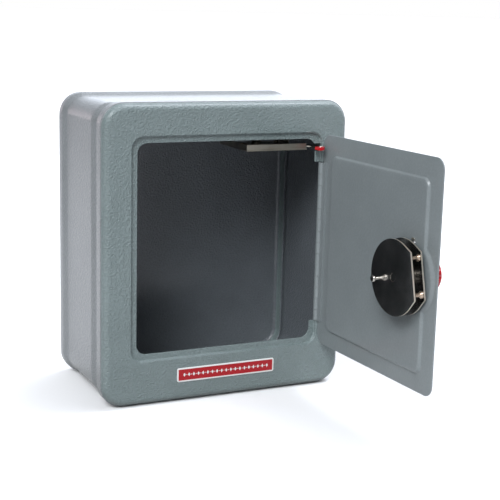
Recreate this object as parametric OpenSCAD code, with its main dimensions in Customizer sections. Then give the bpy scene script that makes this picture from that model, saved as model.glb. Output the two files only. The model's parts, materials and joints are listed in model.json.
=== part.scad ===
// Donation box in the form of a small pressed-steel safe, drawn with its door swung open.
// X runs to the right, Y runs from the front face to the back, Z runs up. All sizes are in millimetres.
// The origin is on the underside of the front rim, midway across, where the box rests.

/* [Case] */
// Outside width over the rims
case_w = 168; // [150:1:200]
// Outside height over the rims
case_h = 191; // [175:1:220]
// Outside depth from the front face to the back face
case_d = 93.5; // [80:0.5:130]
// Radius of the four long corners, over the rims
corner_r = 15; // [14:1:20]
// Thickness of the pressed sheet
sheet = 1; // [0.8:0.1:1.2]
// Radius where the front and back faces turn into their skirts
edge_r = 4; // [3:0.5:4]
// How far the rims stand proud of the wrap
rim_step = 2; // [1.5:0.5:3]
// How far the groove behind the front rim is sunk below the wrap
groove_depth = 1.8; // [1:0.1:2]
// Length of the slot for coins and folded notes in the top
slot_l = 42; // [30:1:60]
// Width of that slot
slot_w = 5; // [4.6:0.1:7]
// Middle of the slot, to the left of the alarm tray
slot_x = -15; // [-30:1:-13]
// Distance of the slot from the front face
slot_y = 33; // [32:1:60]

/* [Doorway] */
// Width of the clear doorway
doorway_w = 122; // [110:1:130]
// Height of the lower edge of the doorway
doorway_z = 33.3; // [30:0.1:36]
// Height of the clear doorway
doorway_h = 132.9; // [120:0.1:136]
// Width of the sunk ledge that the door closes into
ledge_w = 4; // [3.5:0.1:5]
// How far the ledge is sunk behind the front face
ledge_depth = 2.1; // [2:0.1:2.5]

/* [Door] */
// Gap all round the closed door
door_gap = 0.8; // [0.6:0.1:1.2]
// How far the door stands open
door_open = 92; // [80:1:95]
// Distance from the door's upright edges to the raised panel
panel_border = 11.7; // [11:0.1:14]
// How far the panel is pressed towards the inside
panel_rise = 1.5; // [1:0.1:2]
// Radius of the hinge barrel
barrel_r = 2.2; // [2:0.1:2.4]
// Length of the hinge
hinge_l = 106; // [90:1:110]
// Number of knuckles along the hinge
knuckles = 14; // [8:2:20]

/* [Lock] */
// Distance of the dial's axis from the free edge of the door
dial_inset = 26.5; // [26.5:0.1:28]
// Radius of the two lock plates
plate_r = 22.7; // [22:0.1:22.8]
// Distance from the dial's axis to the flat side of the plates
flat_reach = 19.5; // [18.8:0.1:19.5]
// Half of the flat's length
flat_half = 13.8; // [12:0.1:13.8]
// How far the flat is turned up from upright
flat_turn = 13; // [0:1:13]
// Radius of the dial
dial_r = 18; // [14:0.5:18.5]
// Radius of the knob on the dial
knob_r = 10; // [7:0.5:11]
// How far the knob stands out from the front of the door
knob_reach = 15.5; // [12:0.5:16]

/* [Alarm] */
// Width of the alarm tray under the top of the case
tray_w = 42.6; // [40:0.1:46]
// Depth of the tray from front to back
tray_d = 42; // [40:1:44]
// Travel of the trigger when the door shuts
trigger_travel = 9.8; // [9.5:0.1:10]
// Radius of the gong
gong_r = 13; // [11:0.5:13]

/* [Label] */
// Width of the label under the doorway
label_w = 68.5; // [50:0.5:90]
// Height of the label
label_h = 9.2; // [7:0.1:12]

/* [Hidden] */
$fn = 64;

// Overlap used where one cutting solid has to run past a face
cut = 1;
// Depth of the rims' flat crests, front and back
front_crest = 7;
rear_crest = 5;
// Length of the slope between the rear rim's crest and the flat of the wrap
slope_run = 8;
// Length of the front groove's steep side, of its floor and of its gentle side
groove_drop = 3;
groove_floor = 8;
groove_rise = 7;
// Depth of the face's bent border, measured in from the skirt
border = 10;
// Middle of the front crest, which is the line the origin sits on
rest_y = edge_r + front_crest / 2;
wrap_rear = case_d - edge_r;
mid_z = case_h / 2;

doorway_r = 6.5;
sunk_w = doorway_w + 2 * ledge_w;
sunk_h = doorway_h + 2 * ledge_w;
sunk_z = doorway_z - ledge_w;
sunk_r = 7.5;
ledge_back = ledge_depth + sheet;

door_w = sunk_w - 2 * door_gap;
door_h = sunk_h - 2 * door_gap;
door_z = sunk_z + door_gap;
door_r = 7;
panel_r = 5;
panel_back = panel_rise + sheet;
panel_w = door_w - 2 * panel_border;
panel_h = door_h - 2 * panel_border - 1;
panel_z = door_z + door_h / 2 - 0.8;
// Round seat for the dial, level with the panel, sloping out to its foot
seat_r = 21.6;
seat_foot_r = 25.2;
bush_bore = 2.55;
bush_flange = 0.9;
washer_t = 0.9;

// Hinge pin's axis, beside the door's hinge edge and just behind the front face
pin_x = door_w / 2 + 1.6;
pin_y = 1.2;
pin_r = 1.2;
knuckle_bore = 1.25;
hinge_z = sunk_z + sunk_h / 2 - hinge_l / 2 - 1.9;
knuckle_pitch = hinge_l / knuckles;
knuckle_gap = 0.2;
leaf_t = 0.8;
leaf_gap = 0.3;
door_leaf_w = 6.1;
frame_leaf_w = 10;
hinge_cut = 2.5;

dial_x = -door_w / 2 + dial_inset;
dial_z = door_z + door_h / 2 - 2.45;
plate_t = 1;
outer_plate_y = 5;
inner_plate_y = 12;
spindle_r = 2.5;
post_r = 1.2;
post_ring = 20;
post_spread = 32;
stud_ring = 14.9;
stud_h = 4.8;
// The pointer's tang stands this far to the free-edge side of the dial's axis
tang_x = dial_x - 4;
tang_z = dial_z + seat_r - 0.2;

tray_x = 13.4;
tray_y = 5.2;
tray_z = 158.8;
tray_front_h = 4.1;
// The tray's side walls reach the top only behind the groove
tray_wall_y = 24.5;
tray_lip = 0.8;
ceiling_z = case_h - rim_step - sheet;
trigger_z = tray_z + sheet + 0.3;
tip_w = 6.4;
tip_l = 5.5;
tip_right = sunk_w / 2 - 0.4;
tip_front = -8;
tip_round = 5.3;
tip_t = 1.9;
rivet_x = tip_right - tip_w / 2;
rivet_y = tip_front + 3.6;
notch_low = 158.3;
notch_high = 163.1;
gong_x = 31;
gong_y = 28;
gong_z = 169;
hammer_x = 50;
hammer_y = 37;

steel = [0.47, 0.51, 0.51];
nickel = [0.78, 0.76, 0.72];
red = [0.72, 0.02, 0.04];
brass = [0.78, 0.62, 0.3];

// ---- Helpers --------------------------------------------------------------------------------

// Puts a shape drawn from the front face (Y = 0) into the part's own frame
module placed() {
    translate([0, -rest_y, 0])
        children();
}

// Puts a shape drawn on the shut door where the open door is
module on_open_door() {
    translate([pin_x, pin_y, 0])
        rotate([0, 0, door_open])
            translate([-pin_x, -pin_y, 0])
                children();
}

// Rectangle with round corners, centred, made from squares and circles
module round_rect(w, h, r) {
    square([w - 2 * r, h], center = true);
    square([w, h - 2 * r], center = true);
    for (x = [-1, 1], y = [-1, 1])
        translate([x * (w / 2 - r), y * (h / 2 - r)])
            circle(r);
}

// Upright slab with round corners, its middle at height z, from depth y to y + t
module slab(w, h, r, z, y, t) {
    translate([0, y + t, z])
        rotate([90, 0, 0])
            linear_extrude(t)
                round_rect(w, h, r);
}

// Runs a profile of [inset, depth] points round a rectangle w by h with corners of radius r
module sweep(profile, w, h, r) {
    translate([0, 0, mid_z])
        for (k = [0:3])
            rotate([0, 90 * k, 0]) {
                across = k % 2 == 0 ? w / 2 : h / 2;
                along = k % 2 == 0 ? h / 2 : w / 2;
                translate([0, 0, r - along])
                    linear_extrude(2 * (along - r))
                        polygon([for (p = profile) [across - p[0], p[1]]]);
                translate([across - r, 0, along - r])
                    rotate([-90, 0, 0])
                        rotate([0, 0, -90])
                            rotate_extrude(angle = 90)
                                polygon([for (p = profile) [r - p[0], p[1]]]);
            }
}

// Quarter-circle points about [inset, depth], from angle a to angle b
function bend(inset, depth, r, a, b, steps = 6) =
    [for (i = [0:steps]) let (t = a + (b - a) * i / steps) [inset + r * cos(t), depth + r * sin(t)]];

// Cylinder along Y, from depth y to y + t
module rod_y(x, z, r, y, t) {
    translate([x, y, z])
        rotate([-90, 0, 0])
            cylinder(h = t, r = r);
}

// ---- Case -----------------------------------------------------------------------------------

// Depths where the wrap bends: front crest, groove, flat, slope, rear crest
groove_y = edge_r + front_crest;
flat_y = groove_y + groove_drop + groove_floor + groove_rise;
rear_slope = wrap_rear - rear_crest;
groove_step = rim_step + groove_depth;

// One face of the wrap, moved in by the given inset
function wrap_line(inset) = [
    [inset, edge_r],
    [inset, groove_y],
    [inset + groove_step * 0.15, groove_y + groove_drop * 0.25],
    [inset + groove_step * 0.85, groove_y + groove_drop * 0.75],
    [inset + groove_step, groove_y + groove_drop],
    [inset + groove_step, groove_y + groove_drop + groove_floor],
    [inset + rim_step + groove_depth * 0.85, flat_y - groove_rise * 0.75],
    [inset + rim_step + groove_depth * 0.15, flat_y - groove_rise * 0.25],
    [inset + rim_step, flat_y],
    [inset + rim_step, rear_slope - slope_run],
    [inset + rim_step * 0.85, rear_slope - slope_run * 0.75],
    [inset + rim_step * 0.15, rear_slope - slope_run * 0.25],
    [inset, rear_slope],
    [inset, wrap_rear]];

function reversed(list) = [for (i = [len(list) - 1:-1:0]) list[i]];

// Sheet wrapped round the four sides, flared into a rim at both ends, with the slot in its top
module body_wrap() {
    color(steel)
        placed()
            difference() {
                sweep(concat(wrap_line(0), reversed(wrap_line(sheet))), case_w, case_h, corner_r);
                translate([slot_x - slot_l / 2, slot_y - slot_w / 2, case_h - rim_step - sheet - cut])
                    cube([slot_l, slot_w, sheet + 2 * cut]);
            }
}

// Skirt and rounded edge of a pan whose face is at Y = 0, open side towards +Y. Both are set in by
// one sheet, so that the skirt goes inside the wrap.
function pan_profile(skirt) = concat(
    [[sheet, edge_r + skirt]],
    bend(sheet + edge_r, edge_r, edge_r, 180, 270),
    [[sheet + border, 0], [sheet + border, sheet]],
    bend(sheet + edge_r, edge_r, edge_r - sheet, 270, 180),
    [[2 * sheet, edge_r + skirt]]);

// Flat middle of a pan's face
module pan_face() {
    inset = 2 * (sheet + border);
    slab(case_w - inset, case_h - inset, corner_r - border - sheet, mid_z, 0, sheet);
}

// Front pan: face, sunk ledge round the doorway, and the cut-outs for hinge and trigger
module front_frame() {
    color(steel)
        placed()
            difference() {
                union() {
                    sweep(pan_profile(front_crest), case_w, case_h, corner_r);
                    difference() {
                        pan_face();
                        slab(sunk_w, sunk_h, sunk_r, sunk_z + sunk_h / 2, -cut, sheet + 2 * cut);
                    }
                    difference() {
                        slab(sunk_w + 2 * sheet, sunk_h + 2 * sheet, sunk_r + sheet,
                            sunk_z + sunk_h / 2, 0, ledge_back);
                        slab(sunk_w, sunk_h, sunk_r, sunk_z + sunk_h / 2, -cut, ledge_depth + cut);
                        slab(doorway_w, doorway_h, doorway_r, doorway_z + doorway_h / 2,
                            -cut, ledge_back + 2 * cut);
                    }
                }
                translate([doorway_w / 2 - cut, -cut, hinge_z - leaf_gap])
                    cube([pin_x + hinge_cut - doorway_w / 2 + cut, ledge_back + 2 * cut,
                        hinge_l + 2 * leaf_gap]);
                translate([doorway_w / 2 - cut, -cut, notch_low])
                    cube([sunk_w / 2 - doorway_w / 2 + cut, ledge_back + 2 * cut,
                        notch_high - notch_low]);
            }
}

// Back pan, pressed into the rear rim
module rear_cover() {
    color(steel)
        placed()
            translate([0, case_d, 0])
                mirror([0, 1, 0]) {
                    sweep(pan_profile(rear_crest), case_w, case_h, corner_r);
                    pan_face();
                }
}

// Printed label stuck under the doorway
module label_plate() {
    color(red)
        placed()
            slab(label_w, label_h, 1.2, sunk_z - label_h / 2 - 7, -0.4, 0.4);
}

// Strip behind the left of the doorway that the lock plates turn behind
module lock_keeper() {
    keeper_w = 8.4;
    keeper_h = 49;
    color(nickel)
        placed()
            translate([-doorway_w / 2 - 0.6 - keeper_w, ledge_back, dial_z - keeper_h / 2])
                cube([keeper_w, outer_plate_y - 0.5 - ledge_back, keeper_h]);
}

// ---- Hinge ----------------------------------------------------------------------------------

// Every second knuckle, starting at the one with index first
module knuckle_row(first) {
    for (i = [first:2:knuckles - 1])
        translate([pin_x, pin_y, hinge_z + i * knuckle_pitch + knuckle_gap / 2])
            difference() {
                cylinder(h = knuckle_pitch - knuckle_gap, r = barrel_r);
                translate([0, 0, -cut])
                    cylinder(h = knuckle_pitch + 2 * cut, r = knuckle_bore);
            }
}

// Leaf's flat strip with a tongue to each of its own knuckles; side is -1 for left, 1 for right
module leaf_strip(first, side, width) {
    near = barrel_r + leaf_gap;
    translate([side < 0 ? pin_x - width : pin_x + near, sheet, hinge_z])
        cube([width - near, leaf_t, hinge_l]);
    for (i = [first:2:knuckles - 1])
        translate([side < 0 ? pin_x - near - cut : pin_x + knuckle_bore + 0.2, sheet,
            hinge_z + i * knuckle_pitch + knuckle_gap / 2])
            cube([near + cut - knuckle_bore - 0.2, leaf_t, knuckle_pitch - knuckle_gap]);
}

module hinge_frame_leaf() {
    color(steel)
        placed() {
            knuckle_row(1);
            leaf_strip(1, 1, barrel_r + leaf_gap + frame_leaf_w);
        }
}

module hinge_pin() {
    color(nickel)
        placed()
            translate([pin_x, pin_y, hinge_z + 0.1])
                cylinder(h = hinge_l - 0.2, r = pin_r);
}

module hinge_door_leaf() {
    color(steel)
        placed()
            on_open_door() {
                knuckle_row(0);
                leaf_strip(0, -1, door_leaf_w);
            }
}

// ---- Door -----------------------------------------------------------------------------------

// Door sheet with its panel and the dial's seat pressed towards the inside
module door_panel() {
    color(steel)
        placed()
            on_open_door()
                difference() {
                    union() {
                        slab(door_w, door_h, door_r, door_z + door_h / 2, 0, sheet);
                        slab(panel_w, panel_h, panel_r, panel_z, 0, panel_back);
                        seat_cone(seat_foot_r, seat_r, sheet, panel_rise);
                    }
                    slab(panel_w - 2 * sheet, panel_h - 2 * sheet, panel_r - sheet, panel_z, -cut,
                        panel_rise + cut);
                    rod_y(dial_x, dial_z, seat_foot_r - sheet, -cut, cut);
                    seat_cone(seat_foot_r - sheet, seat_r - sheet, 0, panel_rise);
                    rod_y(dial_x, dial_z, 4, 0, panel_back + cut);
                    translate([pin_x - hinge_cut, -cut, hinge_z - leaf_gap])
                        cube([hinge_cut, sheet + 2 * cut, hinge_l + 2 * leaf_gap]);
                    translate([tang_x - 1.6, 0, tang_z - 0.7])
                        cube([3.2, panel_back + cut, 1.6]);
                }
}

// Cone along Y about the dial's axis, from radius a at depth y to radius b at depth y + t
module seat_cone(a, b, y, t) {
    translate([dial_x, y, dial_z])
        rotate([-90, 0, 0])
            cylinder(h = t, r1 = a, r2 = b, $fn = 96);
}

// Flanged bush that the spindle turns in
module dial_bush() {
    color(brass)
        placed()
            on_open_door()
                difference() {
                    union() {
                        rod_y(dial_x, dial_z, 4, panel_rise, sheet);
                        rod_y(dial_x, dial_z, 6, panel_back, bush_flange);
                    }
                    rod_y(dial_x, dial_z, bush_bore, 0, panel_back + 3);
                }
}

// Spring washer between the bush and the sleeve of the lock plates
module spring_washer() {
    color(nickel)
        placed()
            on_open_door()
                difference() {
                    rod_y(dial_x, dial_z, 5.5, panel_back + bush_flange, washer_t);
                    rod_y(dial_x, dial_z, 3, panel_back, 3);
                }
}

// Pointer above the dial, with a tang through the door that is bent up inside
module index_pointer() {
    plate_low = dial_z + dial_r + 1.2;
    color(nickel)
        placed()
            on_open_door() {
                translate([dial_x, panel_rise, 0])
                    rotate([90, 0, 0])
                        linear_extrude(0.6)
                            polygon([[-6, plate_low + 4.5], [-6, plate_low + 1.8], [-1.6, plate_low + 1.8],
                                [0, plate_low], [1.6, plate_low + 1.8], [6, plate_low + 1.8],
                                [6, plate_low + 4.5]]);
                translate([tang_x - 1.5, panel_rise - 0.6, tang_z])
                    cube([3, sheet + 1.3, 0.8]);
                translate([tang_x - 1.5, panel_back, tang_z])
                    cube([3, 0.7, 2.2]);
            }
}

// ---- Dial and lock --------------------------------------------------------------------------

// Dial that sits in the seat, with a fine rim of ribs round its edge
module dial_plate() {
    ribs = 50;
    front = -4.5;
    color(red)
        placed()
            on_open_door()
                difference() {
                    rod_y(dial_x, dial_z, dial_r, front, panel_rise - 0.4 - front);
                    rod_y(dial_x, dial_z, spindle_r, front - cut, 8);
                    for (i = [0:ribs - 1])
                        translate([dial_x, 0, dial_z])
                            rotate([0, i * 360 / ribs, 0])
                                translate([dial_r + 0.25, front - cut, 0])
                                    rotate([-90, 0, 0])
                                        cylinder(h = 4, r = 0.6, $fn = 16);
                }
}

// Fluted knob in front of the dial
module dial_knob() {
    flutes = 12;
    base = -4.5;
    color(red)
        placed()
            on_open_door()
                difference() {
                    translate([dial_x, base, dial_z])
                        rotate([90, 0, 0])
                            rotate_extrude()
                                polygon(concat(
                                    [[0, 0], [knob_r - 0.5, 0]],
                                    [for (a = [0:15:90]) [knob_r - 2 + 2 * cos(a),
                                        knob_reach + base - 2 + 2 * sin(a)]],
                                    [[0, knob_reach + base]]));
                    for (i = [0:flutes - 1])
                        translate([dial_x, 0, dial_z])
                            rotate([0, i * 360 / flutes, 0])
                                translate([knob_r + 0.9, base - cut - knob_reach, 0])
                                    rotate([-90, 0, 0])
                                        cylinder(h = knob_reach, r = 1.7, $fn = 32);
                    rod_y(dial_x, dial_z, spindle_r, -7.5, 4);
                    rod_y(dial_x, dial_z, 1.5, -knob_reach - cut, knob_reach);
                    rod_y(dial_x, dial_z, 3, -knob_reach - cut, cut + 3);
                }
}

// Screw that holds the knob on the spindle
module knob_screw() {
    color(nickel)
        placed()
            on_open_door()
                difference() {
                    union() {
                        rod_y(dial_x, dial_z, 2.8, 1.2 - knob_reach, 1.8);
                        rod_y(dial_x, dial_z, 1.5, 3 - knob_reach, knob_reach - 3 - 7.5);
                    }
                    translate([dial_x - 3, 1 - knob_reach, dial_z - 0.3])
                        cube([6, 0.9, 0.6]);
                }
}

module dial_spindle() {
    color(nickel)
        placed()
            on_open_door()
                rod_y(dial_x, dial_z, spindle_r, -7.5, inner_plate_y + plate_t + 7.5);
}

// Outline of a lock plate, its flat side towards -X: a circle with tangents out to the flat's ends
module plate_outline() {
    corner = norm([flat_reach, flat_half]);
    touch = atan2(flat_half, flat_reach) + acos(plate_r / corner);
    difference() {
        circle(plate_r);
        translate([-plate_r - cut, -plate_r])
            square([plate_r + cut - flat_reach, 2 * plate_r]);
    }
    polygon([[-flat_reach, flat_half], [-plate_r * cos(touch), plate_r * sin(touch)],
        [-plate_r * cos(touch), -plate_r * sin(touch)], [-flat_reach, -flat_half]]);
}

// Lock plate with its flat turned towards the free edge of the door
module lock_plate(y) {
    placed()
        on_open_door()
            translate([dial_x, y + plate_t, dial_z])
                rotate([0, flat_turn, 0])
                    rotate([90, 0, 0])
                        linear_extrude(plate_t)
                            difference() {
                                plate_outline();
                                circle(spindle_r);
                            }
}

module outer_lock_plate() {
    color(nickel)
        lock_plate(outer_plate_y);
}

module inner_lock_plate() {
    color(nickel)
        lock_plate(inner_plate_y);
}

// Two sleeves on the spindle, one from the washer to the outer plate and one between the plates
module plate_spacers() {
    starts = [panel_back + bush_flange + washer_t, outer_plate_y + plate_t];
    ends = [outer_plate_y, inner_plate_y];
    color(nickel)
        placed()
            on_open_door()
                for (i = [0:1])
                    difference() {
                        rod_y(dial_x, dial_z, 5, starts[i], ends[i] - starts[i]);
                        rod_y(dial_x, dial_z, spindle_r, starts[i] - cut, ends[i] - starts[i] + 2 * cut);
                    }
}

// Three waisted posts that tie the plates together
module lock_posts() {
    gap = inner_plate_y - outer_plate_y - plate_t;
    color(nickel)
        placed()
            on_open_door()
                translate([dial_x, outer_plate_y + plate_t, dial_z])
                    for (turn = [180 - post_spread, 180 + post_spread, 0])
                        rotate([0, flat_turn + turn, 0])
                            translate([post_ring, 0, 0])
                                waisted_post(gap);
}

// Post along Y that is narrower in its middle
module waisted_post(length) {
    rotate([-90, 0, 0])
        rotate_extrude($fn = 32)
            polygon([[0, 0], [2.2, 0], [2.2, 0.5], [post_r, 1.5], [post_r, length - 1.5],
                [2.2, length - 0.5], [2.2, length], [0, length]]);
}

// Spool-shaped stud on the inner plate, opposite its flat
module drive_stud() {
    color(nickel)
        placed()
            on_open_door()
                translate([dial_x, inner_plate_y + plate_t, dial_z])
                    rotate([0, flat_turn, 0])
                        translate([stud_ring, 0, 0])
                            rotate([-90, 0, 0])
                                rotate_extrude($fn = 32)
                                    polygon([[0, 0], [0.9, 0], [0.9, stud_h * 0.5], [1.9, stud_h * 0.75],
                                        [1.9, stud_h], [0, stud_h]]);
}

// ---- Alarm ----------------------------------------------------------------------------------

// Folded tray under the top of the case, open at the back and above the front lip
module alarm_tray() {
    height = ceiling_z - tray_z;
    color(nickel)
        placed()
            translate([tray_x, tray_y, tray_z])
                difference() {
                    union() {
                        cube([tray_w, tray_d, sheet]);
                        cube([tray_w, sheet, tray_front_h]);
                        translate([0, -tray_lip, 0])
                            cube([tray_w, tray_lip, 0.7]);
                        translate([0, tray_wall_y, 0])
                            cube([sheet, tray_d - tray_wall_y, height]);
                        cube([sheet, tray_wall_y, tray_front_h]);
                        translate([tray_w - sheet, tray_wall_y, 0])
                            cube([sheet, tray_d - tray_wall_y, height]);
                        translate([0, tray_wall_y, height - sheet])
                            cube([9, tray_d - tray_wall_y, sheet]);
                        translate([tray_w - 9, tray_wall_y, height - sheet])
                            cube([9, tray_d - tray_wall_y, sheet]);
                    }
                    translate([gong_x - tray_x, gong_y - tray_y, -cut])
                        cylinder(h = 3 * cut, r = 2);
                    translate([hammer_x - tray_x, hammer_y - tray_y, -cut])
                        cylinder(h = 3 * cut, r = 1.5);
                }
}

// Gong, a thin cup hung open side down on its post
module gong() {
    color(brass)
        placed()
            translate([gong_x, gong_y, gong_z])
                rotate_extrude()
                    polygon(concat(
                        [[2, 8], [gong_r - 5, 8]],
                        [for (a = [75:-15:0]) [gong_r - 5 + 5 * cos(a), 3 + 5 * sin(a)]],
                        [[gong_r, 0], [gong_r - 1, 0]],
                        [for (a = [0:15:90]) [gong_r - 5 + 4 * cos(a), 3 + 4 * sin(a)]],
                        [[2, 7]]));
}

// Shouldered post that carries the gong
module gong_post() {
    color(nickel)
        placed()
            translate([gong_x, gong_y, tray_z]) {
                cylinder(h = gong_z + 9.5 - tray_z, r = 2);
                translate([0, 0, sheet])
                    cylinder(h = gong_z + 7 - tray_z - sheet, r = 3.2);
                translate([0, 0, gong_z + 8 - tray_z])
                    cylinder(h = 1.5, r = 3.2);
            }
}

// Hammer: eye, arm and ball beside the gong
module hammer() {
    arm_z = gong_z + 1.5;
    ball_x = gong_x + gong_r + 2.9;
    ball_y = gong_y - 2;
    reach = norm([ball_x - hammer_x, ball_y - hammer_y]);
    color(nickel)
        placed() {
            translate([hammer_x, hammer_y, arm_z - 2])
                difference() {
                    cylinder(h = 4, r = 3);
                    translate([0, 0, -cut])
                        cylinder(h = 4 + 2 * cut, r = 1.55);
                }
            translate([hammer_x, hammer_y, arm_z - 0.5])
                rotate([0, 0, atan2(ball_y - hammer_y, ball_x - hammer_x)])
                    translate([2.2, -1, 0])
                        cube([reach - 2.2, 2, 1]);
            translate([ball_x, ball_y, arm_z])
                sphere(r = 2.5, $fn = 32);
        }
}

// Pin that the hammer swings on, with a head above it
module hammer_pin() {
    color(nickel)
        placed()
            translate([hammer_x, hammer_y, tray_z]) {
                cylinder(h = gong_z + 5 - tray_z, r = 1.5);
                translate([0, 0, gong_z + 4 - tray_z])
                    cylinder(h = 1, r = 2.6);
            }
}

// Spring on the hammer's pin, as the sleeve of space that its turns fill
module hammer_spring() {
    color(nickel)
        placed()
            translate([hammer_x, hammer_y, tray_z + sheet + 1.8])
                difference() {
                    cylinder(h = gong_z - 1 - tray_z - sheet - 1.8, r = 2.6);
                    translate([0, 0, -cut])
                        cylinder(h = gong_z - tray_z, r = 1.7);
                }
}

// Sliding blade with a nose that reaches out through the doorway's edge
module trigger_slide() {
    color(nickel)
        placed()
            translate([0, 0, trigger_z]) {
                translate([40, tray_y + sheet + 1.8, 0])
                    cube([tip_right - 40 - 1, 6.5, sheet]);
                translate([tip_right - tip_w + 1, tip_front + 3, 0])
                    cube([tip_w - 2, tray_y + sheet - tip_front, sheet]);
            }
}

// Moulded tip on the nose, rounded on the hinge side so that the door rolls over it
module trigger_tip() {
    z = trigger_z + sheet / 2 - tip_t / 2;
    color(red)
        placed()
            difference() {
                translate([0, 0, z])
                    linear_extrude(tip_t) {
                        intersection() {
                            translate([tip_right - tip_round, tip_front + tip_round])
                                circle(tip_round);
                            translate([tip_right - tip_round, tip_front])
                                square([tip_round, tip_round]);
                        }
                        translate([tip_right - tip_w, tip_front])
                            square([tip_w - tip_round, tip_l]);
                        translate([tip_right - tip_w, tip_front + tip_round])
                            square([tip_w, tip_l - tip_round]);
                    }
                translate([tip_right - tip_w + 1, tip_front + 3, trigger_z])
                    cube([tip_w - 2, tip_l, sheet]);
                translate([rivet_x, rivet_y, z - cut])
                    cylinder(h = tip_t + 2 * cut, r = 0.8);
            }
}

// Rivet that holds the tip, with a round head on top
module tip_rivet() {
    top = trigger_z + sheet / 2 + tip_t / 2;
    color(nickel)
        placed()
            translate([rivet_x, rivet_y, 0]) {
                translate([0, 0, trigger_z + sheet])
                    cylinder(h = top - trigger_z - sheet + 0.2, r = 0.8);
                translate([0, 0, top])
                    cylinder(h = 0.4, r = 1.3);
                translate([0, 0, top + 0.4])
                    cylinder(h = 0.3, r1 = 1.3, r2 = 0.7);
            }
}

body_wrap();
front_frame();
rear_cover();
label_plate();
lock_keeper();
hinge_frame_leaf();
hinge_pin();
hinge_door_leaf();
door_panel();
dial_bush();
spring_washer();
index_pointer();
dial_plate();
dial_knob();
knob_screw();
dial_spindle();
outer_lock_plate();
inner_lock_plate();
plate_spacers();
lock_posts();
drive_stud();
alarm_tray();
gong();
gong_post();
hammer();
hammer_pin();
hammer_spring();
trigger_slide();
trigger_tip();
tip_rivet();
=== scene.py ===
import json
import math

import bmesh
import bpy
import numpy as np
from mathutils import Matrix, Vector


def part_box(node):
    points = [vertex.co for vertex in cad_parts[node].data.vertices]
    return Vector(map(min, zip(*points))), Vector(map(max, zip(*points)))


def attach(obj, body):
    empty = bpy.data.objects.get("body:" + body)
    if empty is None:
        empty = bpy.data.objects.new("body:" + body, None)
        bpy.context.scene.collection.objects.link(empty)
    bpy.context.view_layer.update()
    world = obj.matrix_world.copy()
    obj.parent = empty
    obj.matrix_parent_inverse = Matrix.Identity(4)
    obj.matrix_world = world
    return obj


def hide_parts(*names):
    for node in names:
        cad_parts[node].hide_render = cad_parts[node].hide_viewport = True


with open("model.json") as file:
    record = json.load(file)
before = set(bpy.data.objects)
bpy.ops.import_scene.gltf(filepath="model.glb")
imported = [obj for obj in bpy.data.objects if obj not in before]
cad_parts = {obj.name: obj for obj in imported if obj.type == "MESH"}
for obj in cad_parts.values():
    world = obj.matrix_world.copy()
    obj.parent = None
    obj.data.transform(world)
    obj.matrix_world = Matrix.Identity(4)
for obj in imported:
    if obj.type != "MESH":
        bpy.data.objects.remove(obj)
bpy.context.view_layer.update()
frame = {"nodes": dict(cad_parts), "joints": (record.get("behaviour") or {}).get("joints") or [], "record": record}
NODES = frame["nodes"]
JOINTS = {j["name"]: j for j in frame["joints"]}
MM = 0.001

# ---------------------------------------------------------------------------------------------
# Positions from the frame. "Closed" coordinates are the row frame with the door shut.
# ---------------------------------------------------------------------------------------------
wrap_lo, wrap_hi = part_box("body_wrap")
front_lo, front_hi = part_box("front_frame")
rear_lo, rear_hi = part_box("rear_cover")
CASE_W = (wrap_hi.x - wrap_lo.x) / MM
CASE_H = (wrap_hi.z - wrap_lo.z) / MM
FACE_Y = front_lo.y / MM
CASE_D = (rear_hi.y - front_lo.y) / MM
CASE_CZ = (wrap_hi.z + wrap_lo.z) / 2 / MM
WRAP_Y0 = wrap_lo.y / MM - FACE_Y
WRAP_Y1 = wrap_hi.y / MM - FACE_Y
SKIRT = front_hi.y / MM - FACE_Y
REAR_SKIRT = rear_lo.y / MM - FACE_Y
SHEET = 1.0  # thickness of the pressed steel
EDGE_R = WRAP_Y0  # bend of the front and back pans
LIP_R = 0.7  # rounding of the wrap's two ends
CORNER_R = 15.0  # corners of the case, seen from the front
FACE_INSET = 8.0  # where the flat of the front pan's face begins
PAST = 2.0  # how far a cutter reaches past the sheet
# Depths of the wrap's flat and groove below its crests, and their lengths from front to back
STEP, GROOVE = 2.0, 3.8
FRONT_CREST, REAR_CREST, SLOPE = 7.0, 5.0, 8.0
GROOVE_DROP, GROOVE_FLOOR, GROOVE_RISE = 3.0, 8.0, 7.0

# Width, height, corner radius (and middle height) of the door, its seat and the doorway
DOOR_W, DOOR_H, DOOR_R, DOOR_CZ = 128.4, 139.3, 7.0, 99.75
SUNK_W, SUNK_H, SUNK_R, SUNK_D = 130.0, 140.9, 7.5, 2.1
GATE_W, GATE_H, GATE_R = 122.0, 132.9, 6.5
TRIGGER_Z0, TRIGGER_Z1 = 158.3, 163.1  # notch the trigger slides in
# The door's raised panel, and the round seat of the dial with the foot of its slope
PANEL_W, PANEL_H, PANEL_R, PANEL_CZ, PANEL_RISE = 105.0, 114.9, 5.0, 98.95, 1.5
DIAL_X, DIAL_Z, SEAT_R, SEAT_FOOT = -37.7, 97.3, 21.6, 25.2
TANG_X = DIAL_X - 4  # where the pointer's tang comes through the door

hinge = JOINTS["door_hinge"]
PIN = Vector(hinge["pos_m"])
OPEN = -math.radians(hinge["range_deg"][0])
TO_OPEN = (
    Matrix.Translation((PIN.x, PIN.y, 0))
    @ Matrix.Rotation(OPEN, 4, "Z")
    @ Matrix.Translation((-PIN.x, -PIN.y, 0))
)
KNUCKLE_ROOM = 2.5  # clear of the sheet on each side of the pin
HINGE_GAP = 0.4  # room above and below the hinge
HINGE_Z0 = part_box("hinge_pin")[0].z / MM - HINGE_GAP
HINGE_Z1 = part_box("hinge_pin")[1].z / MM + HINGE_GAP


def to_row(points):
    """Points in mm measured from the front face, as metres in the row frame."""
    p = np.array(points, float).reshape(-1, 3)
    p[:, 1] += FACE_Y
    return p * MM


def point(x, y, z):
    """One point of to_row."""
    return to_row([(x, y, z)])[0]


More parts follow.
